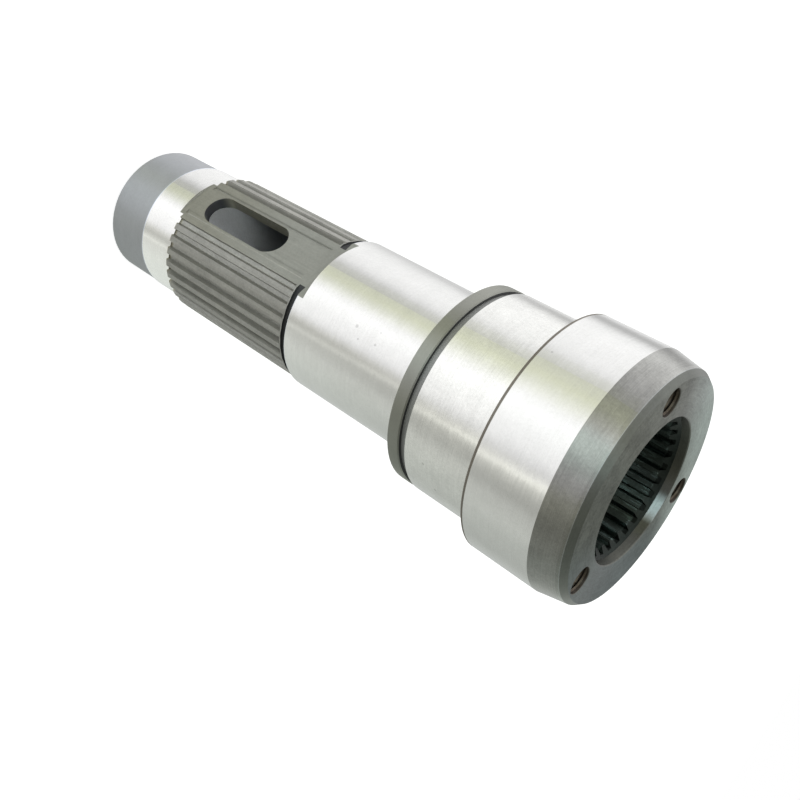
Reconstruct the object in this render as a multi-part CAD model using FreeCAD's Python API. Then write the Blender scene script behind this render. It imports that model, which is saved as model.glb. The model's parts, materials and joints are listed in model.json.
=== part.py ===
import FreeCAD, Part
import math
import os

# Hollow power take-off shaft, turned from one bar of steel and stood on its nose end.
# Lengths in millimetres, angles in degrees. The axis is Z, the nose end face is z = 0 and the
# splined mouth looks up. The milled flat with the slot faces +X.

# Outside diameters, from the nose up
NOSE_D = 50.2
NOSE_JOURNAL_D = 51.0
SPLINE_TIP_D = 54.2
SPLINE_ROOT_D = 50.2
LONG_JOURNAL_D = 56.0
RING_D = 69.8
SEAT_D = 70.0
BODY_D = 80.0
FACE_D = 73.2

# Lengths along the axis, each for one step of the outside
NOSE_L = 21.2
NOSE_JOURNAL_L = 16.8
SPLINE_L = 63.9
SPLINE_RELIEF_L = 2.6
LONG_JOURNAL_L = 54.0
RING_L = 4.75
RING_GROOVE_L = 2.65
SEAT_L = 25.6
BODY_L = 23.5
LONG_CHAMFER_L = 9.1
EDGE_CHAMFER_L = 1.9

# Reliefs and edge breaks
SPLINE_RELIEF_D = 52.6
RING_GROOVE_D = 67.0
BODY_RELIEF_L = 0.9
BODY_RELIEF_DEPTH = 0.35
NOSE_CHAMFER = 1.4
JOURNAL_CHAMFER = 0.3
RING_CHAMFER = 0.4
BODY_CHAMFER = 0.4
LONG_CHAMFER_ANGLE = 11.5

# Hollow
BORE_D = 41.0
BORE_CHAMFER = 1.0
MOUTH_D = 48.0
MOUTH_DEPTH = 2.9
MOUTH_CHAMFER = 0.3
INNER_SPLINE_ROOT_D = 46.4
INNER_SPLINE_TIP_D = 43.2
INNER_SPLINE_L = 44.0
INNER_RELIEF_D = 47.6
INNER_RELIEF_L = 8.0

# Teeth, straight flanked
TEETH = 35
TOOTH_TIP_W = 2.1
TOOTH_GAP_FLOOR_W = 1.5
TOOTH_LEAD_IN_L = 1.0
TOOTH_LEAD_IN_DEPTH = 0.6
GAP_RUN_OUT_L = 1.4
GAP_RUN_OUT_LAND = 0.5
GAP_RUN_OUT_D = 54.0
INNER_TEETH = 30
INNER_TOOTH_TIP_W = 1.5
INNER_GAP_FLOOR_W = 1.9
INNER_TEETH_PHASE = 3.0

# Milled flat across the splines, and the slot through its wall
FLAT_HEIGHT = 24.5
FLAT_INTO_NOSE_JOURNAL = 2.5
FLAT_INTO_LONG_JOURNAL = 2.75
SLOT_W = 12.8
SLOT_L = 40.0
SLOT_FROM_SPLINE_END = 5.5

# Tapped holes in the mouth face
HOLES = 3
HOLE_CIRCLE_D = 63.0
HOLE_D = 8.7
HOLE_DEPTH = 22.0
HOLE_TIP_ANGLE = 118.0
HOLE_CHAMFER = 0.25
HOLE_PHASE = -24.1

# Heights of the shoulders, added up from the nose
Z_NOSE_JOURNAL = NOSE_L
Z_SPLINE = Z_NOSE_JOURNAL + NOSE_JOURNAL_L
Z_SPLINE_END = Z_SPLINE + SPLINE_L
Z_LONG_JOURNAL = Z_SPLINE_END + SPLINE_RELIEF_L
Z_RING = Z_LONG_JOURNAL + LONG_JOURNAL_L
Z_RING_GROOVE = Z_RING + RING_L
Z_SEAT = Z_RING_GROOVE + RING_GROOVE_L
Z_BODY = Z_SEAT + SEAT_L
Z_LONG_CHAMFER = Z_BODY + BODY_L
Z_EDGE_CHAMFER = Z_LONG_CHAMFER + LONG_CHAMFER_L
Z_FACE = Z_EDGE_CHAMFER + EDGE_CHAMFER_L

AXIS = FreeCAD.Vector(0, 0, 1)
ORIGIN = FreeCAD.Vector(0, 0, 0)


def revolved(points):
    """Solid of revolution from (radius, height) points that close on themselves."""
    corners = [FreeCAD.Vector(radius, 0, height) for radius, height in points]
    outline = Part.makePolygon(corners + corners[:1])
    return Part.Face(outline).revolve(ORIGIN, AXIS, 360)


def nose_profile():
    """Turned outside below the splines, with the axis as its inner side."""
    return [
        (0, 0),
        (NOSE_D / 2 - NOSE_CHAMFER, 0),
        (NOSE_D / 2, NOSE_CHAMFER),
        (NOSE_D / 2, Z_NOSE_JOURNAL),
        (NOSE_JOURNAL_D / 2, Z_NOSE_JOURNAL),
        (NOSE_JOURNAL_D / 2, Z_SPLINE),
        (0, Z_SPLINE),
    ]


def mouth_profile():
    """Turned outside from the tooth gaps' run-out up to the mouth face."""
    z_land = Z_SPLINE_END - GAP_RUN_OUT_LAND
    z_run_out = z_land - GAP_RUN_OUT_L
    chamfer_drop = LONG_CHAMFER_L * math.tan(math.radians(LONG_CHAMFER_ANGLE))
    return [
        (0, z_run_out),
        (SPLINE_ROOT_D / 2, z_run_out),
        (GAP_RUN_OUT_D / 2, z_land),
        (GAP_RUN_OUT_D / 2, Z_SPLINE_END),
        (SPLINE_RELIEF_D / 2, Z_SPLINE_END),
        (SPLINE_RELIEF_D / 2, Z_LONG_JOURNAL),
        (LONG_JOURNAL_D / 2 - JOURNAL_CHAMFER, Z_LONG_JOURNAL),
        (LONG_JOURNAL_D / 2, Z_LONG_JOURNAL + JOURNAL_CHAMFER),
        (LONG_JOURNAL_D / 2, Z_RING),
        (RING_D / 2 - RING_CHAMFER, Z_RING),
        (RING_D / 2, Z_RING + RING_CHAMFER),
        (RING_D / 2, Z_RING_GROOVE - RING_CHAMFER),
        (RING_D / 2 - RING_CHAMFER, Z_RING_GROOVE),
        (RING_GROOVE_D / 2, Z_RING_GROOVE),
        (RING_GROOVE_D / 2, Z_SEAT),
        (SEAT_D / 2, Z_SEAT),
        (SEAT_D / 2, Z_BODY - BODY_RELIEF_L),
        (SEAT_D / 2 - BODY_RELIEF_DEPTH, Z_BODY - BODY_RELIEF_L),
        (SEAT_D / 2 - BODY_RELIEF_DEPTH, Z_BODY),
        (BODY_D / 2 - BODY_CHAMFER, Z_BODY),
        (BODY_D / 2, Z_BODY + BODY_CHAMFER),
        (BODY_D / 2, Z_LONG_CHAMFER),
        (BODY_D / 2 - chamfer_drop, Z_EDGE_CHAMFER),
        (FACE_D / 2, Z_FACE),
        (0, Z_FACE),
    ]


def hollow_profile():
    """Bore from end to end, with the relief, the spline's own bore and the mouth."""
    z_mouth = Z_FACE - MOUTH_DEPTH
    z_relief_top = z_mouth - INNER_SPLINE_L
    z_relief = z_relief_top - INNER_RELIEF_L
    lead_in = (MOUTH_D - INNER_SPLINE_TIP_D) / 2
    return [
        (0, 0),
        (BORE_D / 2 + BORE_CHAMFER, 0),
        (BORE_D / 2, BORE_CHAMFER),
        (BORE_D / 2, z_relief),
        (INNER_RELIEF_D / 2, z_relief + (INNER_RELIEF_D - BORE_D) / 2),
        (INNER_RELIEF_D / 2, z_relief_top),
        (INNER_SPLINE_TIP_D / 2, z_relief_top),
        (INNER_SPLINE_TIP_D / 2, z_mouth - lead_in),
        (MOUTH_D / 2, z_mouth),
        (MOUTH_D / 2, Z_FACE - MOUTH_CHAMFER),
        (MOUTH_D / 2 + MOUTH_CHAMFER, Z_FACE),
        (0, Z_FACE),
    ]


def polar(radius, angle, height):
    return FreeCAD.Vector(radius * math.cos(angle), radius * math.sin(angle), height)


def arc(radius, start, end, height):
    middle = (start + end) / 2
    return Part.Arc(polar(radius, start, height), polar(radius, middle, height),
                    polar(radius, end, height)).toShape()


def toothed_prism(count, land_r, land_w, floor_r, floor_w, phase, bottom, height):
    """Prism whose outline runs over lands of one radius and floors of another."""
    pitch = 2 * math.pi / count
    land = land_w / land_r
    floor = floor_w / floor_r
    edges = []
    for tooth in range(count):
        land_end = math.radians(phase) + tooth * pitch + land / 2
        floor_start = land_end + (pitch - land - floor) / 2
        floor_end = floor_start + floor
        next_land = land_end - land + pitch
        edges.append(arc(land_r, land_end - land, land_end, bottom))
        edges.append(Part.makeLine(polar(land_r, land_end, bottom),
                                   polar(floor_r, floor_start, bottom)))
        edges.append(arc(floor_r, floor_start, floor_end, bottom))
        edges.append(Part.makeLine(polar(floor_r, floor_end, bottom),
                                   polar(land_r, next_land, bottom)))
    return Part.Face(Part.Wire(edges)).extrude(AXIS * height)


def outer_splines():
    """Outer teeth, chamfered where they start at the nose journal."""
    tip_r = SPLINE_TIP_D / 2
    teeth = toothed_prism(TEETH, tip_r, TOOTH_TIP_W, SPLINE_ROOT_D / 2, TOOTH_GAP_FLOOR_W,
                          0, Z_SPLINE, SPLINE_L)
    lead_in = revolved([
        (tip_r - TOOTH_LEAD_IN_DEPTH, Z_SPLINE),
        (tip_r + TOOTH_LEAD_IN_DEPTH, Z_SPLINE),
        (tip_r + TOOTH_LEAD_IN_DEPTH, Z_SPLINE + 2 * TOOTH_LEAD_IN_L),
    ])
    return teeth.cut(lead_in)


def inner_spline_gaps():
    """Broached space of the mouth spline, cut from the relief up to the mouth's counterbore."""
    bottom = Z_FACE - MOUTH_DEPTH - INNER_SPLINE_L
    return toothed_prism(INNER_TEETH, INNER_SPLINE_ROOT_D / 2, INNER_GAP_FLOOR_W,
                         INNER_SPLINE_TIP_D / 2, INNER_TOOTH_TIP_W, INNER_TEETH_PHASE,
                         bottom, INNER_SPLINE_L)


def flat_cut():
    """Block that mills the flat over the splines and a little way into both journals."""
    start = Z_SPLINE - FLAT_INTO_NOSE_JOURNAL
    end = Z_LONG_JOURNAL + FLAT_INTO_LONG_JOURNAL
    corner = FreeCAD.Vector(FLAT_HEIGHT, -LONG_JOURNAL_D / 2, start)
    return Part.makeBox(LONG_JOURNAL_D / 2, LONG_JOURNAL_D, end - start, corner)


def slot_cut():
    """Round-ended slot through one wall of the tube."""
    end_r = SLOT_W / 2
    low = Z_SPLINE + SLOT_FROM_SPLINE_END + end_r
    high = low + SLOT_L - SLOT_W
    outward = FreeCAD.Vector(1, 0, 0)
    ends = [Part.makeCylinder(end_r, LONG_JOURNAL_D, FreeCAD.Vector(0, 0, z), outward)
            for z in (low, high)]
    middle = Part.makeBox(LONG_JOURNAL_D, SLOT_W, high - low, FreeCAD.Vector(0, -end_r, low))
    return middle.fuse(ends).removeSplitter()


def hole_cut(index):
    """One blind tapped hole, with its drill point and its countersunk edge."""
    radius = HOLE_D / 2
    angle = math.radians(HOLE_PHASE + index * 360 / HOLES)
    point = radius / math.tan(math.radians(HOLE_TIP_ANGLE / 2))
    floor = Z_FACE - HOLE_DEPTH
    hole = revolved([
        (0, floor - point),
        (radius, floor),
        (radius, Z_FACE - HOLE_CHAMFER),
        (radius + HOLE_CHAMFER, Z_FACE),
        (0, Z_FACE),
    ])
    hole.translate(polar(HOLE_CIRCLE_D / 2, angle, 0))
    return hole


def hollow_shaft():
    blank = revolved(nose_profile()).fuse([outer_splines(), revolved(mouth_profile())])
    hollow = revolved(hollow_profile()).fuse(inner_spline_gaps())
    cuts = [hollow, flat_cut(), slot_cut()] + [hole_cut(index) for index in range(HOLES)]
    return blank.cut(cuts).removeSplitter()


os.makedirs("parts", exist_ok=True)
shaft = hollow_shaft()
shaft.Solids[0].exportStep("parts/hollow_shaft.step")
print("solids", len(shaft.Solids), "valid", shaft.isValid(), "faces", len(shaft.Faces))
print("volume cm3", round(shaft.Volume / 1000, 1), "height", round(shaft.BoundBox.ZMax, 2))
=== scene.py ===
import json
import math

import bpy
from mathutils import Matrix, Vector


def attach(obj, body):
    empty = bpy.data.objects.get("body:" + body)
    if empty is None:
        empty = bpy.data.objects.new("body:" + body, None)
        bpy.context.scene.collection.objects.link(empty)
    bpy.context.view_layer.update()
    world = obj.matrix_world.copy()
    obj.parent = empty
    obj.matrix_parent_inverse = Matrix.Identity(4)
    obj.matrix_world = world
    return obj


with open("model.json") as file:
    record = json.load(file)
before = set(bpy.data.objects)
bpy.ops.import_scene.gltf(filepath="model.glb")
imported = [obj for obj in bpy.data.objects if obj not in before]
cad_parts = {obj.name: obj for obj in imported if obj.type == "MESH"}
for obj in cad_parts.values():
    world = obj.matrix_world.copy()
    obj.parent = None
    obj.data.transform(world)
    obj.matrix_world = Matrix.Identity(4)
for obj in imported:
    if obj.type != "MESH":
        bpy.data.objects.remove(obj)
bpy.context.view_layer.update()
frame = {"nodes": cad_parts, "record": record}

# Dressed hollow shaft. Lengths are metres in the frame of the part, angles are degrees.
# Heights and radii of the turned zones come from the mounts of the record.

NODE = "hollow_shaft"
MM_PER_M = 1000
mounts = {mount["name"]: mount for mount in frame["record"]["mounts"]}


def radius_of(name):
    return mounts[name]["dims"]["r_mm"] / MM_PER_M


def span_of(name):
    """Lowest and highest point of the wall that a mount names."""
    half = mounts[name]["dims"]["length_mm"] / MM_PER_M / 2
    middle = mounts[name]["pos_m"][2]
    return middle - half, middle + half


NOSE_JOURNAL = span_of("nose_journal")
LONG_JOURNAL = span_of("long_journal")
SEAT = span_of("bearing_seat")
BODY = span_of("seal_seat")
FACE_Z = mounts["mouth_face"]["pos_m"][2]
NOSE_JOURNAL_R = radius_of("nose_journal")
LONG_JOURNAL_R = radius_of("long_journal")
SEAT_R = radius_of("bearing_seat")
BODY_R = radius_of("seal_seat")
MOUTH_R = radius_of("mouth_bore")
BORE_R = radius_of("through_bore")
HOLE_CIRCLE_R = mounts["mouth_bolts"]["dims"]["pcd_mm"] / MM_PER_M / 2
HOLE_R = mounts["mouth_bolts"]["dims"]["hole_r_mm"] / MM_PER_M
HOLES = mounts["mouth_bolts"]["dims"]["count"]

# Sizes that the mounts don't give
TOOTH_START = 0.0380
SPLINE_TOP = 0.1019
GAP_FLOOR_R = 0.0251
FLANK_R = 0.0267
JOURNAL_EDGE = 0.1045
RING_TOP = 0.16325
RING_FLOOR_R = 0.0335
BODY_BOTTOM = 0.1915
CHAMFER_TOP = 0.2241
MOUTH_FLOOR = 0.2231
CONE_FLOOR = 0.2207
FLAT_X = 0.0245
FLAT_Z = (0.0355, 0.10725)
# Two tooth gaps beside the slot are so shallow that they count as flat, out to this far across
SHALLOW_HALF_W = 0.0090
SLOT_HALF_W = 0.0064
SLOT_Z = (0.0435, 0.0835)
HOLE_PHASE = -24.1
HOLE_DEPTH = 0.025

# Camera
CAMERA_EYE = (0.24185, 0.11568, 0.29975)
CAMERA_FORWARD = (-0.76647, -0.36517, -0.52836)
CAMERA_UP = (0.61236, -0.66361, -0.42968)
CAMERA_AZIMUTH = 25.6
CAMERA_CLIP = (0.01, 50)
FOCAL_PX = 944.4
PRINCIPAL_PX = (402.4, 352.0)
IMAGE_PX = 800
SENSOR_MM = 36.0


class Graph:
    """Shader nodes written as calls, where an input is a number, a colour or another output."""

    def __init__(self, tree):
        self.tree = tree
        tree.nodes.clear()

    def node(self, kind, inputs=None, **settings):
        made = self.tree.nodes.new(kind)
        for name, value in settings.items():
            setattr(made, name, value)
        for key, value in (inputs or {}).items():
            self.put(made.inputs[key], value)
        return made

    def put(self, socket, value):
        if isinstance(value, bpy.types.NodeSocket):
            self.tree.links.new(value, socket)
        else:
            socket.default_value = value

    def math(self, operation, a, b=0.0):
        return self.node("ShaderNodeMath", {0: a, 1: b}, operation=operation).outputs[0]

    def add(self, a, b):
        return self.math("ADD", a, b)

    def less(self, a, b):
        return self.math("SUBTRACT", a, b)

    def times(self, a, b):
        return self.math("MULTIPLY", a, b)

    def size(self, a):
        return self.math("ABSOLUTE", a)

    def length(self, a, b):
        """Length of a vector with these two components."""
        return self.math("SQRT", self.add(self.times(a, a), self.times(b, b)))

    def most(self, *values):
        """Largest of several numbers."""
        largest = values[0]
        for value in values[1:]:
            largest = self.math("MAXIMUM", largest, value)
        return largest

    def rise(self, value, start, end):
        """0 at start, 1 at end, smooth between them."""
        made = self.node("ShaderNodeMapRange", {"Value": value, "From Min": start, "From Max": end},
                         interpolation_type="SMOOTHSTEP")
        return made.outputs["Result"]

    def between(self, value, low, high, edge):
        """1 from low to high and 0 outside, with an edge that wide."""
        opens = self.rise(value, low - edge / 2, low + edge / 2)
        closes = self.rise(value, high + edge / 2, high - edge / 2)
        return self.times(opens, closes)

    def mix(self, share, a, b):
        """Number a where share is 0 and b where it is 1."""
        return self.node("ShaderNodeMix", {0: share, 2: a, 3: b}, data_type="FLOAT").outputs[0]

    def mix_vectors(self, share, a, b):
        return self.node("ShaderNodeMix", {0: share, 4: a, 5: b}, data_type="VECTOR").outputs[1]

    def blend(self, share, a, b, kind="MIX"):
        """Colour a where share is 0 and b where it is 1."""
        made = self.node("ShaderNodeMix", {0: share, 6: a, 7: b}, data_type="RGBA", blend_type=kind)
        return made.outputs[2]

    def ramp(self, value, stops):
        made = self.node("ShaderNodeValToRGB", {"Fac": value})
        elements = made.color_ramp.elements
        while len(elements) < len(stops):
            elements.new(0.5)
        for element, (position, colour) in zip(elements, stops):
            element.position = position
            element.color = (*colour, 1.0)
        return made.outputs["Color"]

    def parts(self, vector):
        return self.node("ShaderNodeSeparateXYZ", {0: vector}).outputs

    def vector(self, operation, a, b):
        """Sum, product or cross product of two vectors, or the distance between them."""
        made = self.node("ShaderNodeVectorMath", {0: a, 1: b}, operation=operation)
        return made.outputs["Value" if operation == "DISTANCE" else "Vector"]

    def scale(self, vector, factor):
        made = self.node("ShaderNodeVectorMath", {0: vector, "Scale": factor}, operation="SCALE")
        return made.outputs[0]

    def noise(self, point, detail=2.0, roughness=0.5):
        made = self.node("ShaderNodeTexNoise", {"Vector": point, "Scale": 1.0, "Detail": detail,
                                                "Roughness": roughness})
        return made.outputs["Fac"]

    def grit(self, point, per_metre, detail=2.0, roughness=0.5):
        """Noise with about this many waves in a metre along x, y and z."""
        return self.noise(self.vector("MULTIPLY", point, per_metre), detail, roughness)


def rgba(red, green, blue):
    return (red, green, blue, 1.0)


def new_material(name):
    material = bpy.data.materials.new(name)
    material.use_nodes = True
    return material, Graph(material.node_tree)


def new_object(name, data):
    made = bpy.data.objects.new(name, data)
    bpy.context.scene.collection.objects.link(made)
    return made


# The studio that the steel mirrors is a ring of soft grey cards, as (degrees round from the
# camera's side, brightness). The upper ring stands a little below the shaft's own height, where
# the large bands look, the middle one lower, for the long journal, and the lower one near the
# floor, for the nose end.
UPPER_CARDS = [
    (-180, 0.62), (-170, 0.74), (-161, 0.92), (-152, 0.80), (-144, 0.56), (-137, 0.52),
    (-130, 0.80), (-122, 1.10), (-110, 1.18), (-76, 1.12), (-66, 0.98), (-59, 0.74),
    (-54, 0.72), (-38, 0.92), (-25, 1.16), (-12, 1.38), (2, 1.24), (20, 1.06), (30, 0.84),
    (41, 0.88), (47, 0.67), (52, 0.52), (60, 0.435), (69, 0.56), (86, 0.63), (103, 0.545),
    (130, 0.48), (150, 0.56), (167, 0.54), (180, 0.62),
]
MIDDLE_CARDS = [
    (-180, 0.72), (-148, 0.75), (-118, 1.05), (-97, 1.15), (-76, 1.02), (-64, 0.74),
    (-57, 0.62), (-46, 0.78), (-33, 0.90), (-25, 1.14), (-12, 1.28), (9, 1.12), (22, 1.02),
    (31, 0.78), (39, 0.46), (58, 0.51), (74, 0.625), (112, 0.60), (137, 0.60), (158, 0.62),
    (180, 0.66),
]
LOWER_CARDS = [
    (-180, 0.85), (-161, 1.05), (-140, 1.14), (-110, 1.08), (-84, 1.02), (-72, 0.74),
    (-63, 0.50), (-42, 0.70), (-33, 0.84), (-20, 1.14), (-12, 1.38), (9, 1.24), (26, 1.16),
    (35, 0.88), (44, 0.56), (54, 0.88), (94, 0.98), (120, 0.94), (137, 0.92), (158, 0.84),
    (180, 0.80),
]
# Above the shaft's height, where its chamfers and its end face look
ROOM_CARDS = [
    (-180, 0.50), (-165, 0.60), (-148, 1.05), (-134, 0.90), (-115, 1.40), (-100, 1.22),
    (-84, 0.92), (-56, 0.62), (-36, 0.74), (-16, 1.24), (-4, 1.14), (10, 0.68), (40, 0.39),
    (67, 0.26), (92, 0.28), (112, 0.36), (131, 0.50), (150, 0.78), (165, 0.62), (180, 0.50),
]
PLAIN = (1, 1, 1)
LAMP_GREEN = (0.88, 1, 0.96)
# Tint of everything: plain, then a yellowish wall, plain, and a slightly green one
TINTS = [
    (-180, PLAIN), (-67, PLAIN), (-57, (1, 1.015, 0.90)), (-43, (1, 1.03, 0.80)),
    (-33, (1, 1.02, 0.90)), (-20, PLAIN), (28, PLAIN), (39, (1, 1, 0.93)),
    (70, (0.99, 1.01, 0.95)), (100, (0.97, 1.01, 0.945)), (140, (0.965, 1.01, 0.95)),
    (165, (0.98, 1.01, 0.99)), (180, PLAIN),
]
# Tint of the room above, on top of that: a cool green lamp in front, then a yellowish wall
ROOM_TINTS = [
    (-180, PLAIN), (-28, PLAIN), (-15, LAMP_GREEN), (4, LAMP_GREEN), (22, PLAIN),
    (46, (1, 1, 0.91)), (76, (1, 1, 0.93)), (105, (0.96, 1, 0.97)), (180, PLAIN),
]
# Elevation of each ring, and where the room takes over from the upper one
UPPER_EL = -22
MIDDLE_EL = -33
LOWER_EL = -47
ROOM_EL = (-13, -4)
# Narrow gap of light beside the dark cards. Its azimuth grows as it nears the floor.
GAP_AZIMUTH = 39
GAP_SLANT = 0.66
GAP_HALF_WIDTH = 4.5
GAP_LIGHT = (0.62, 0.16)


def build_world():
    """White to the camera, and the rings of cards to everything else."""
    world = bpy.data.worlds.new("studio")
    bpy.context.scene.world = world
    world.use_nodes = True
    g = Graph(world.node_tree)
    x, y, z = g.parts(g.node("ShaderNodeTexCoord").outputs["Generated"])
    turn = math.radians(CAMERA_AZIMUTH)
    ahead = g.add(g.times(x, math.cos(turn)), g.times(y, math.sin(turn)))
    across = g.add(g.times(y, math.cos(turn)), g.times(x, -math.sin(turn)))
    azimuth = g.times(g.math("ARCTAN2", across, ahead), math.degrees(1))
    elevation = g.times(g.math("ARCSINE", z), math.degrees(1))
    share = g.add(g.math("DIVIDE", azimuth, 360), 0.5)

    def tints(stops):
        return g.ramp(share, [(degrees / 360 + 0.5, colour) for degrees, colour in stops])

    def cards(levels):
        return tints([(degrees, (level, level, level)) for degrees, level in levels])

    to_middle = g.rise(elevation, UPPER_EL, MIDDLE_EL)
    light = g.blend(to_middle, cards(UPPER_CARDS), cards(MIDDLE_CARDS))
    light = g.blend(g.rise(elevation, MIDDLE_EL, LOWER_EL), light, cards(LOWER_CARDS))
    gap_azimuth = g.add(g.times(g.less(UPPER_EL, elevation), GAP_SLANT), GAP_AZIMUTH)
    in_gap = g.rise(g.size(g.less(azimuth, gap_azimuth)), GAP_HALF_WIDTH, 0)
    light = g.blend(1.0, light, g.times(in_gap, g.mix(to_middle, *GAP_LIGHT)), "ADD")
    room = g.blend(1.0, cards(ROOM_CARDS), tints(ROOM_TINTS), "MULTIPLY")
    light = g.blend(g.rise(elevation, *ROOM_EL), light, room)
    light = g.blend(1.0, light, tints(TINTS), "MULTIPLY")
    seen = g.node("ShaderNodeLightPath").outputs["Is Camera Ray"]
    colour = g.blend(seen, light, rgba(*PLAIN))
    background = g.node("ShaderNodeBackground", {"Color": colour, "Strength": 1.0})
    g.node("ShaderNodeOutputWorld", {"Surface": background.outputs[0]})


FLOOR_HALF = 4.0
FLOOR_GLOW = 0.80
FLOOR_ALBEDO = 0.55


def build_floor():
    """Pale floor that the shaft stands on. The camera sees it white, with the shaft's shadow."""
    mesh = bpy.data.meshes.new("floor")
    corners = ((-1, -1), (1, -1), (1, 1), (-1, 1))
    mesh.from_pydata([(x * FLOOR_HALF, y * FLOOR_HALF, 0) for x, y in corners], [], [(0, 1, 2, 3)])
    floor = new_object("floor", mesh)
    floor.visible_glossy = False
    material, g = new_material("floor")
    albedo = rgba(FLOOR_ALBEDO, FLOOR_ALBEDO, FLOOR_ALBEDO)
    matt = g.node("ShaderNodeBsdfDiffuse", {"Color": albedo})
    seen = g.node("ShaderNodeLightPath").outputs["Is Camera Ray"]
    glow = g.node("ShaderNodeEmission", {"Strength": g.times(seen, FLOOR_GLOW)})
    both = g.node("ShaderNodeAddShader", {0: matt.outputs[0], 1: glow.outputs[0]})
    g.node("ShaderNodeOutputMaterial", {"Surface": both.outputs[0]})
    mesh.materials.append(material)


def build_camera():
    forward = Vector(CAMERA_FORWARD).normalized()
    right = forward.cross(Vector(CAMERA_UP)).normalized()
    up = right.cross(forward)
    data = bpy.data.cameras.new("camera")
    data.sensor_width = SENSOR_MM
    data.lens = FOCAL_PX / IMAGE_PX * SENSOR_MM
    data.shift_x = (IMAGE_PX / 2 - PRINCIPAL_PX[0]) / IMAGE_PX
    data.shift_y = (PRINCIPAL_PX[1] - IMAGE_PX / 2) / IMAGE_PX
    data.clip_start, data.clip_end = CAMERA_CLIP
    camera = new_object("camera", data)
    turn = Matrix((right, up, -forward)).transposed().to_4x4()
    camera.matrix_world = Matrix.Translation(CAMERA_EYE) @ turn
    bpy.context.scene.camera = camera


# Finish of each zone: colour, metallic, roughness, share of mottling
NOSE = (rgba(0.53, 0.542, 0.58), 0.30, 0.46, 0.20)
GROUND = (rgba(0.80, 0.80, 0.79), 1.0, 0.18, 0.14)
SEAT_GROUND = (rgba(0.82, 0.82, 0.80), 1.0, 0.18, 0.30)
HOBBED = (rgba(0.425, 0.415, 0.388), 0.32, 0.42, 0.60)
# Painted shade: the flanks of the outer teeth are a little darker, for the shadow beside each tooth
FLANK_PAINTED_SHADE = (rgba(0.40, 0.39, 0.365), 0.30, 0.45, 0.40)
# Painted light: the floors of the tooth gaps are lighter, against the shade that falls in the narrow
# gaps
GAP_FLOOR_PAINTED_LIGHT = (rgba(0.50, 0.49, 0.462), 0.30, 0.45, 0.60)
# Painted reflection: a pale cream fringe on the nose-side ends of the teeth
TOOTH_END_PAINTED_REFLECTION = (rgba(0.42, 0.40, 0.33), 0.80, 0.45, 0.30)
MILLED = (rgba(0.445, 0.447, 0.434), 0.40, 0.45, 0.34)
MILLED_WORN = (rgba(0.385, 0.377, 0.342), 0.40, 0.45, 0.40)
SLOT_WALL = (rgba(0.37, 0.36, 0.30), 0.40, 0.55, 0.40)
# Painted shade: the nose-side end of the slot is nearly black
SLOT_END_PAINTED_SHADE = (rgba(0.050, 0.054, 0.066), 0.30, 0.50, 0.30)
# Painted shade: near black in the narrow grooves and on the ring's wall that faces its groove
GROOVE_PAINTED_SHADE = (rgba(0.012, 0.013, 0.015), 0.0, 0.60, 0.0)
# Painted highlight: a bluish-white line on the edges where the journals begin
EDGE_PAINTED_HIGHLIGHT = (rgba(0.84, 0.89, 0.98), 1.0, 0.35, 0.0)
COLLAR = (rgba(0.375, 0.38, 0.345), 1.0, 0.48, 0.16)
RING_GROOVE = (rgba(0.38, 0.385, 0.38), 0.60, 0.45, 0.10)
# Painted shade: a dark line on the small chamfer at the foot of the body
BODY_EDGE_PAINTED_SHADE = (rgba(0.25, 0.222, 0.192), 0.60, 0.50, 0.30)
CHAMFER = (rgba(0.395, 0.395, 0.38), 1.0, 0.22, 0.46)
# A lighter line on the edge between the chamfers, partly wear and partly a painted highlight
WORN_EDGE_AND_HIGHLIGHT = (rgba(0.44, 0.46, 0.465), 1.0, 0.36, 0.40)
EDGE_CHAMFER = (rgba(0.18, 0.188, 0.172), 1.0, 0.40, 0.30)
STAINED_FACE = (rgba(0.174, 0.182, 0.161), 1.0, 0.44, 1.10)
COOL_FACE = (rgba(0.139, 0.164, 0.160), 1.0, 0.44, 0.90)
LIGHTER_FACE = (rgba(0.555, 0.62, 0.592), 1.0, 0.42, 0.60)
HOLE = (rgba(0.060, 0.048, 0.037), 0.70, 0.45, 0.40)
MOUTH_WALL = (rgba(0.135, 0.138, 0.122), 1.0, 0.34, 0.50)
# Painted highlight: a pale bluish patch on one side of the mouth's wall
MOUTH_PAINTED_HIGHLIGHT = (rgba(0.44, 0.50, 0.51), 1.0, 0.30, 0.60)
# Painted shade: the cone deep in the mouth is near black
MOUTH_CONE_PAINTED_SHADE = (rgba(0.035, 0.042, 0.038), 1.0, 0.42, 0.80)
# Dark greenish steel of the inner teeth, made darker still by painted shade
SOCKET_STEEL_AND_SHADE = (rgba(0.085, 0.106, 0.096), 1.0, 0.44, 0.80)
# Painted glints on the inner teeth
PAINTED_GLINT = (rgba(0.34, 0.46, 0.44), 1.0, 0.26, 0.60)
# Painted light: the bore's wall is pale near the nose, where light comes in through the slot
BORE_PAINTED_LIGHT = (rgba(0.80, 0.82, 0.85), 0.30, 0.50, 0.30)
# Painted shade: the bore's wall turns near black further in
BORE_PAINTED_SHADE = (rgba(0.070, 0.078, 0.084), 0.30, 0.45, 0.40)
STEEL_IOR = 1.8
BRUSHED = 0.9
BRUSHED_TURN = 0.25

# Widths of the soft edges between the finishes
EDGE = 1.2e-4
FINE_EDGE = 5e-5
# Steps in which the distance from a wall, or from a flat face, is counted
NEAR_WALL = 1e-4
NEAR_FACE = 1e-5

# The end face is stained, with a lighter side and a bluish one: degrees round, and how far out
# on that side it begins and is full
LIGHTER_SIDE = (252, 0.010, 0.034)
COOL_SIDE = (135, 0.004, 0.026)
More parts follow.
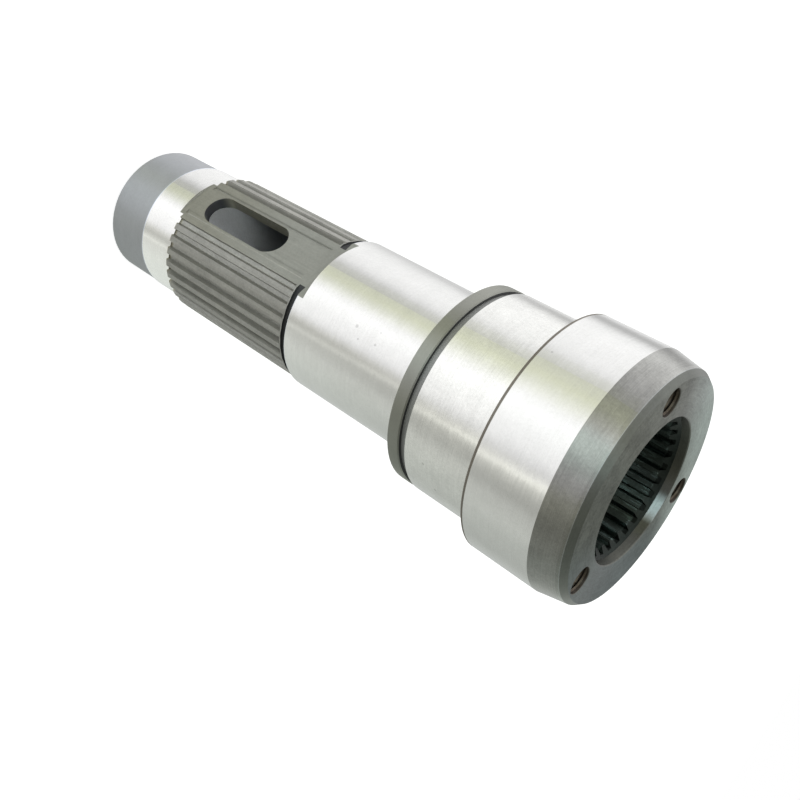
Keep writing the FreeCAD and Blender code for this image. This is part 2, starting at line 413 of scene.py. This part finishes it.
# Heights over which the flat's wear, the painted shade at the end of the slot and the painted shade deep
# in the bore come up
WORN_FLAT_Z = (0.085, 0.045)
SLOT_SHADE_Z = (0.0485, 0.0445)
BORE_SHADE_Z = (0.020, 0.047)
# The painted highlight on the mouth's wall: degrees round, and half its width
HIGHLIGHT_AT = 200
HIGHLIGHT_HALF = 14
# Small painted glints on the inner teeth, on the side of the mouth's painted highlight
GLINT_HALF = 70
GLINT_BOTTOM = 0.205
GLINT_SPECKS = (0.49, 0.68)
# How far the normal of the mouth's worn wall leans upward, against 1 sideways
ROLLED_TILT = 0.26
# A facet whose normal is this near to x or z is flat
FLAT_NORMAL = (0.9998, 0.99995)

# Noise, in waves in a metre along x, y and z
GRAIN = (1300, 1300, 1300)
BLOTCHES = (170, 170, 170)
ROUND_LINES = (60, 60, 3600)
LONG_LINES = (1100, 1100, 45)
SPECKS = (900, 900, 160)
WANDER = (110, 110, 1500)
THREAD_OIL = (900, 900, 900)
# The turned lines of the end face: waves in a metre out, and in a radian round
FACE_LINES = (2200, 2.5)
# Sum of the middle values of three noises
MOTTLING_MIDDLE = 1.5
WANDER_TILT = 0.05
LINE_HEIGHT = 4e-6
LINE_STRENGTH = 0.5

# Small pits and ring marks in the ground bands: degrees round, height, radius of the mark
PITS = [
    ("long_journal", 26.7, 0.1312, 0.0006), ("long_journal", 33.5, 0.1338, 0.0004),
    ("long_journal", 31.2, 0.1405, 0.0005), ("long_journal", 22.8, 0.1402, 0.0003),
    ("bearing_seat", 72.0, 0.1733, 0.0005), ("bearing_seat", 86.3, 0.1775, 0.0005),
    ("seal_seat", -4.4, 0.1953, 0.0004),
]
# A mark is dark out to its rim and less so in its middle, as shares of its radius
PIT_RIM = 0.7
PIT_MIDDLE = 0.6
PIT_MIDDLE_FADE = 0.6
PIT_LEVEL = 0.74


def hole_centre(index):
    angle = math.radians(HOLE_PHASE + index * 360 / HOLES)
    return HOLE_CIRCLE_R * math.cos(angle), HOLE_CIRCLE_R * math.sin(angle)


class Place:
    """Where a point of the shaft lies, as shader values, with the masks that are used twice."""

    def __init__(self, g):
        self.g = g
        self.point = g.node("ShaderNodeTexCoord").outputs["Object"]
        self.x, self.y, self.z = g.parts(self.point)
        self.r = g.length(self.x, self.y)
        self.on_face = g.rise(self.z, FACE_Z - 2 * NEAR_FACE, FACE_Z - NEAR_FACE)
        self.on_flat = self.flat_mask()
        self.on_slot_wall = self.slot_wall_mask()

    def flat_mask(self):
        """1 on the milled flat, with the two shallow tooth gaps that it just reaches."""
        g = self.g
        off_flat = g.size(g.less(self.x, FLAT_X))
        shallow = g.rise(g.size(self.y), SHALLOW_HALF_W + 2 * NEAR_WALL, SHALLOW_HALF_W)
        shallow = g.times(g.rise(off_flat, 5 * NEAR_WALL, 4 * NEAR_WALL), shallow)
        on_plane = g.rise(off_flat, 5 * NEAR_FACE, 3 * NEAR_FACE)
        return g.times(self.band(*FLAT_Z, EDGE), g.most(on_plane, shallow))

    def slot_wall_mask(self):
        """1 on the wall of the slot, which has round ends."""
        g = self.g
        below = g.less(SLOT_Z[0] + SLOT_HALF_W, self.z)
        above = g.less(self.z, SLOT_Z[1] - SLOT_HALF_W)
        reach = g.length(self.y, g.most(below, above, 0))
        inside = g.rise(reach, SLOT_HALF_W + 6 * NEAR_FACE, SLOT_HALF_W + 3 * NEAR_FACE)
        over_bore = g.rise(self.x, BORE_R - 20 * NEAR_WALL, BORE_R - 10 * NEAR_WALL)
        under_flat = g.rise(self.x, FLAT_X - 2 * NEAR_FACE, FLAT_X - 6 * NEAR_FACE)
        return g.times(g.times(inside, over_bore), under_flat)

    def band(self, low, high, edge=FINE_EDGE):
        return self.g.between(self.z, low, high, edge)

    def outside(self, span, radius):
        """1 at that radius or further out, over a span of heights."""
        far_out = self.g.rise(self.r, radius - 3 * NEAR_WALL, radius - 2 * NEAR_WALL)
        return self.g.times(self.band(*span, EDGE), far_out)

    def within(self, radius):
        return self.g.rise(self.r, radius + 2 * NEAR_WALL, radius + NEAR_WALL)

    def reach_to(self, degrees):
        """How far the point lies out on the side of the shaft at that angle."""
        angle = math.radians(degrees)
        return self.g.add(self.g.times(self.x, math.cos(angle)), self.g.times(self.y, math.sin(angle)))

    def side(self, degrees, start, full):
        return self.g.rise(self.reach_to(degrees), start, full)

    def in_holes(self):
        g = self.g
        flat_point = g.vector("MULTIPLY", self.point, (1, 1, 0))
        holes = []
        for index in range(HOLES):
            reach = g.vector("DISTANCE", flat_point, (*hole_centre(index), 0))
            holes.append(g.rise(reach, HOLE_R + 1.5 * NEAR_WALL, HOLE_R + 0.5 * NEAR_WALL))
        return g.times(self.band(FACE_Z - HOLE_DEPTH, FACE_Z - NEAR_WALL, NEAR_WALL), g.most(*holes))


def steel_zones(at):
    """Pairs of a mask and the finish where it is 1. A later pair lies over the earlier ones."""
    g, r, z = at.g, at.r, at.z
    ground = g.most(at.outside(NOSE_JOURNAL, NOSE_JOURNAL_R), at.outside(LONG_JOURNAL, LONG_JOURNAL_R),
                    at.outside((BODY_BOTTOM, BODY[1]), BODY_R))
    teeth = at.band(TOOTH_START - FINE_EDGE, SPLINE_TOP)
    tooth_ends = g.rise(z, TOOTH_START + 10 * NEAR_WALL, TOOTH_START + 8 * NEAR_WALL)
    land = (JOURNAL_EDGE, LONG_JOURNAL[0] + NEAR_WALL)
    ring_wall = at.band(RING_TOP - FINE_EDGE, RING_TOP + 2 * NEAR_WALL)
    in_mouth = at.within(MOUTH_R)
    in_bore = at.within(BORE_R)
    mouth_wall = g.times(at.band(MOUTH_FLOOR, FACE_Z - 2 * NEAR_FACE), in_mouth)
    towards = g.math("DIVIDE", at.reach_to(HIGHLIGHT_AT), r)
    # Where the mouth's painted highlight lies
    painted_highlight = g.rise(towards, math.cos(math.radians(HIGHLIGHT_HALF)), 1)
    glint = g.times(g.rise(towards, math.cos(math.radians(GLINT_HALF)), 1),
                    g.rise(g.grit(at.point, SPECKS), *GLINT_SPECKS))
    inner_teeth = g.times(at.band(GLINT_BOTTOM, CONE_FLOOR + NEAR_WALL, 10 * NEAR_WALL), in_mouth)
    return [
        (ground, GROUND),
        (at.outside(SEAT, SEAT_R), SEAT_GROUND),
        (g.times(teeth, g.rise(r, FLANK_R, FLANK_R - 3 * NEAR_WALL)), FLANK_PAINTED_SHADE),
        (g.times(teeth, g.rise(r, GAP_FLOOR_R + 5 * NEAR_WALL, GAP_FLOOR_R + 3 * NEAR_WALL)), GAP_FLOOR_PAINTED_LIGHT),
        (g.times(teeth, tooth_ends), TOOTH_END_PAINTED_REFLECTION),
        (g.rise(z, NOSE_JOURNAL[0] + EDGE / 2, NOSE_JOURNAL[0] - EDGE / 2), NOSE),
        (at.band(SPLINE_TOP - FINE_EDGE, JOURNAL_EDGE), GROOVE_PAINTED_SHADE),
        (at.outside(land, LONG_JOURNAL_R - 3 * NEAR_WALL), EDGE_PAINTED_HIGHLIGHT),
        (at.band(NOSE_JOURNAL[0] - NEAR_WALL, NOSE_JOURNAL[0] + 4 * NEAR_WALL, NEAR_WALL), EDGE_PAINTED_HIGHLIGHT),
        (at.on_flat, MILLED),
        (g.times(at.on_flat, g.rise(z, *WORN_FLAT_Z)), MILLED_WORN),
        (at.band(LONG_JOURNAL[1] + FINE_EDGE, RING_TOP), COLLAR),
        (at.band(RING_TOP - FINE_EDGE, SEAT[0]), RING_GROOVE),
        (g.times(ring_wall, g.rise(r, RING_FLOOR_R, RING_FLOOR_R + NEAR_WALL)), GROOVE_PAINTED_SHADE),
        (at.band(SEAT[1], BODY_BOTTOM), GROOVE_PAINTED_SHADE),
        (at.band(BODY_BOTTOM, BODY[0] + 6 * NEAR_WALL, 2 * NEAR_WALL), BODY_EDGE_PAINTED_SHADE),
        (g.rise(z, BODY[1] - EDGE / 2, BODY[1] + EDGE / 2), CHAMFER),
        (at.band(CHAMFER_TOP - 1.5 * NEAR_WALL, CHAMFER_TOP, NEAR_WALL), WORN_EDGE_AND_HIGHLIGHT),
        (g.rise(z, CHAMFER_TOP, CHAMFER_TOP + EDGE), EDGE_CHAMFER),
        (at.on_face, STAINED_FACE),
        (g.times(at.on_face, at.side(*COOL_SIDE)), COOL_FACE),
        (g.times(at.on_face, at.side(*LIGHTER_SIDE)), LIGHTER_FACE),
        (g.times(g.rise(z, SEAT[0], SEAT[0] + EDGE), in_mouth), SOCKET_STEEL_AND_SHADE),
        (g.times(at.band(CONE_FLOOR, MOUTH_FLOOR), in_mouth), MOUTH_CONE_PAINTED_SHADE),
        (g.times(glint, inner_teeth), PAINTED_GLINT),
        (mouth_wall, MOUTH_WALL),
        (g.times(mouth_wall, painted_highlight), MOUTH_PAINTED_HIGHLIGHT),
        (at.in_holes(), HOLE),
        (in_bore, BORE_PAINTED_LIGHT),
        (g.times(in_bore, g.rise(z, *BORE_SHADE_Z)), BORE_PAINTED_SHADE),
        (at.on_slot_wall, SLOT_WALL),
        (g.times(at.on_slot_wall, g.rise(z, *SLOT_SHADE_Z)), SLOT_END_PAINTED_SHADE),
    ]


def tool_lines(at):
    """Fine lines left by the tools: along the teeth, turned on the end face, else round the shaft."""
    g = at.g
    on_teeth = at.band(TOOTH_START, SPLINE_TOP, EDGE)
    round_lines = g.grit(at.point, ROUND_LINES, detail=3.0, roughness=0.7)
    long_lines = g.grit(at.point, LONG_LINES, detail=3.0, roughness=0.6)
    out_waves, round_waves = FACE_LINES
    turning = g.node("ShaderNodeCombineXYZ", {0: g.times(at.r, out_waves),
                                              1: g.times(g.math("ARCTAN2", at.y, at.x), round_waves)})
    face_lines = g.noise(turning.outputs[0], detail=3.0, roughness=0.7)
    return g.mix(at.on_face, g.mix(on_teeth, round_lines, long_lines), face_lines)


def in_pits(at):
    g = at.g
    marks = []
    for name, degrees, height, radius in PITS:
        angle = math.radians(degrees)
        centre = (radius_of(name) * math.cos(angle), radius_of(name) * math.sin(angle), height)
        off_centre = g.vector("DISTANCE", at.point, centre)
        middle = g.times(g.rise(off_centre, radius * PIT_MIDDLE, 0), PIT_MIDDLE_FADE)
        marks.append(g.less(g.rise(off_centre, radius, radius * PIT_RIM), middle))
    return g.most(*marks)


def steel_normal(at):
    """Flat where the metal is flat, leaning at the mouth's edge, and wandering a little sideways."""
    g = at.g
    surface = g.node("ShaderNodeNewGeometry").outputs
    facet = g.parts(surface["True Normal"])
    plane = g.rise(g.most(g.size(facet[0]), g.size(facet[2])), *FLAT_NORMAL)
    plane = g.times(plane, g.less(1, at.on_slot_wall))
    smooth = g.mix_vectors(plane, surface["Normal"], surface["True Normal"])
    smooth = g.mix_vectors(at.on_flat, smooth, (1, 0, 0))
    rolled = g.times(at.band(MOUTH_FLOOR, FACE_Z - FINE_EDGE), ROLLED_TILT)
    smooth = g.vector("ADD", smooth, g.node("ShaderNodeCombineXYZ", {2: rolled}).outputs[0])
    wander = g.times(g.less(g.grit(at.point, WANDER), 0.5), WANDER_TILT)
    sideways = g.vector("CROSS_PRODUCT", (0, 0, 1), smooth)
    return g.vector("ADD", smooth, g.scale(sideways, wander))


def steel():
    """Procedural steel whose finish follows the turned zones of the shaft."""
    material, g = new_material("shaft_steel")
    at = Place(g)
    colour, metallic, rough, mottling = HOBBED
    for share, (zone_colour, zone_metallic, zone_rough, zone_mottling) in steel_zones(at):
        colour = g.blend(share, colour, zone_colour)
        metallic = g.mix(share, metallic, zone_metallic)
        rough = g.mix(share, rough, zone_rough)
        mottling = g.mix(share, mottling, zone_mottling)

    lines = tool_lines(at)
    grain = g.grit(at.point, GRAIN, detail=3.0, roughness=0.6)
    blotches = g.grit(at.point, BLOTCHES, detail=4.0, roughness=0.65)
    patchy = g.less(g.add(g.add(blotches, lines), grain), MOTTLING_MIDDLE)
    level = g.add(g.times(patchy, mottling), 1.0)
    level = g.times(level, g.mix(in_pits(at), 1.0, PIT_LEVEL))
    bump = g.node("ShaderNodeBump", {"Height": lines, "Distance": LINE_HEIGHT,
                                     "Strength": LINE_STRENGTH, "Normal": steel_normal(at)})
    round_axis = g.node("ShaderNodeTangent", direction_type="RADIAL", axis="Z")
    skin = g.node("ShaderNodeBsdfPrincipled", {
        "Base Color": g.scale(colour, level), "Metallic": metallic, "Roughness": rough,
        "IOR": STEEL_IOR, "Anisotropic": BRUSHED, "Anisotropic Rotation": BRUSHED_TURN,
        "Tangent": round_axis.outputs[0], "Normal": bump.outputs[0]})
    g.node("ShaderNodeOutputMaterial", {"Surface": skin.outputs[0]})
    return material


def dress_shaft():
    shaft = frame["nodes"][NODE]
    shaft.data.materials.clear()
    shaft.data.materials.append(steel())


THREAD_DARK = rgba(0.055, 0.043, 0.033)
THREAD_PALE = rgba(0.19, 0.16, 0.13)
THREAD_METALLIC = 0.8
THREAD_ROUGH = 0.38
THREAD_PITCH = 0.00125
THREAD_CREST = 0.00030
THREAD_TOP = 0.0008
THREAD_TURNS = 15
THREAD_STEPS = 48
# Half the foot of the ridge as a share of the pitch, its run-in in turns, and how far it is sunk
THREAD_FOOT = 0.42
THREAD_RUN_IN = 0.5
THREAD_SUNK = 1e-5


def thread_steel():
    """Oily brown steel of the screw threads."""
    material, g = new_material("thread_steel")
    point = g.node("ShaderNodeTexCoord").outputs["Object"]
    colour = g.blend(g.grit(point, THREAD_OIL, detail=3.0), THREAD_DARK, THREAD_PALE)
    skin = g.node("ShaderNodeBsdfPrincipled", {"Base Color": colour, "Metallic": THREAD_METALLIC,
                                               "Roughness": THREAD_ROUGH})
    g.node("ShaderNodeOutputMaterial", {"Surface": skin.outputs[0]})
    return material


def thread_points(centre_x, centre_y):
    """Three points at each step down the hole: upper foot, crest and lower foot of the ridge."""
    wall_r = HOLE_R + THREAD_SUNK
    half_foot = THREAD_PITCH * THREAD_FOOT
    points = []
    for step in range(THREAD_TURNS * THREAD_STEPS + 1):
        turn = step / THREAD_STEPS
        angle = 2 * math.pi * turn
        z = FACE_Z - THREAD_TOP - THREAD_PITCH * turn
        crest = THREAD_CREST * (min(turn, THREAD_TURNS - turn, THREAD_RUN_IN) / THREAD_RUN_IN)
        for radius, lift in ((wall_r, half_foot), (wall_r - crest, 0), (wall_r, -half_foot)):
            x = centre_x + radius * math.cos(angle)
            y = centre_y - radius * math.sin(angle)
            points.append((x, y, z + lift))
    return points


def build_threads():
    """Screw thread in each tapped hole, as one ridge that winds down its wall."""
    material = thread_steel()
    for index in range(HOLES):
        points = thread_points(*hole_centre(index))
        last = len(points) - 1
        faces = [(0, 1, 2), (last, last - 1, last - 2)]
        for start in range(0, len(points) - 3, 3):
            for side in range(3):
                after = (side + 1) % 3
                faces.append((start + side, start + 3 + side, start + 3 + after, start + after))
        mesh = bpy.data.meshes.new(f"thread_{index + 1}")
        mesh.from_pydata(points, [], faces)
        mesh.materials.append(material)
        thread = new_object(f"thread_{index + 1}", mesh)
        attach(thread, "root")


build_world()
build_floor()
build_camera()
dress_shaft()
build_threads()
bpy.context.scene.view_settings.view_transform = "Standard"
